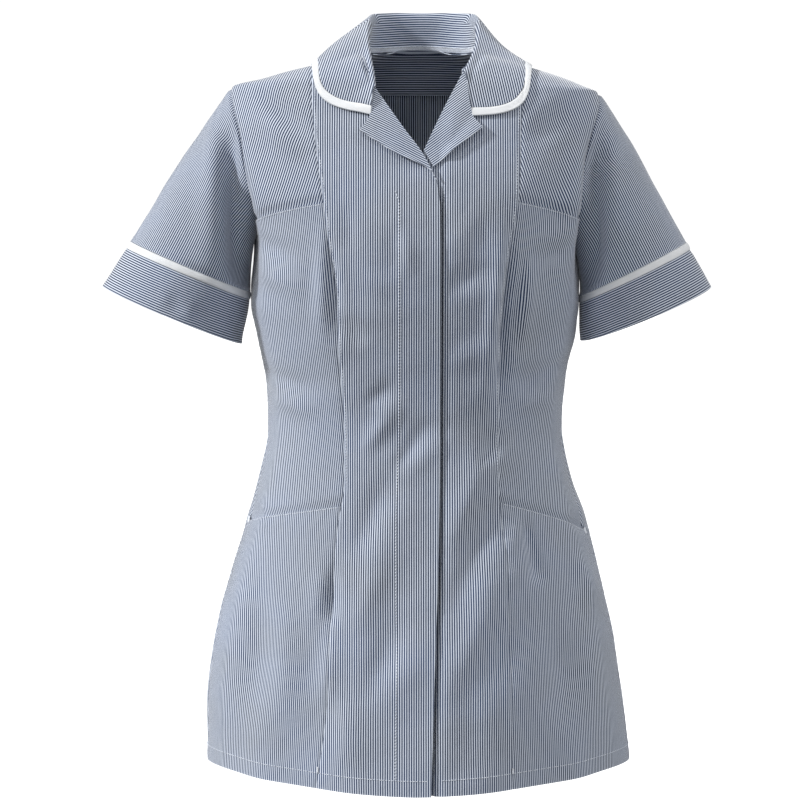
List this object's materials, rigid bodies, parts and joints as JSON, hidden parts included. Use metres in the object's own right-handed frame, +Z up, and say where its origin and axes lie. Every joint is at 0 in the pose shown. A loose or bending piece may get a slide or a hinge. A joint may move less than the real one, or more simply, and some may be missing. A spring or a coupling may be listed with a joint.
{
  "type": "work tunic",
  "caption": "Short-sleeved work tunic in fine blue and white stripe, filled out, with a revere collar, white trim, princess seams, a concealed front and deep cuffs",
  "frame": {"origin": "Midway between the neck points, where the two shoulder seams meet the collar", "axes": "+Z is up, the front faces -Y and +X is the wearer's left"},
  "size_m": [0.6211, 0.2686, 0.7822],
  "materials": {
    "striped_cloth": "matt plain weave with a fine lengthwise stripe",
    "white_trim": "matt plain weave"
  },
  "bodies": {
    "root": {"back_centre": "striped_cloth", "back_neck_facing": "striped_cloth", "back_side_left": "striped_cloth", "back_side_right": "striped_cloth", "collar": "striped_cloth", "collar_piping": "white_trim", "cuff_left": "striped_cloth", "cuff_piping_left": "white_trim", "cuff_piping_right": "white_trim", "cuff_right": "striped_cloth", "front_centre_left": "striped_cloth", "front_centre_right": "striped_cloth", "front_hip_left": "striped_cloth", "front_hip_right": "striped_cloth", "front_side_left": "striped_cloth", "front_side_right": "striped_cloth", "front_yoke_left": "striped_cloth", "front_yoke_right": "striped_cloth", "lapel_left": "striped_cloth", "lapel_right": "striped_cloth", "sleeve_left": "striped_cloth", "sleeve_right": "striped_cloth"}
  },
  "joints": []
}
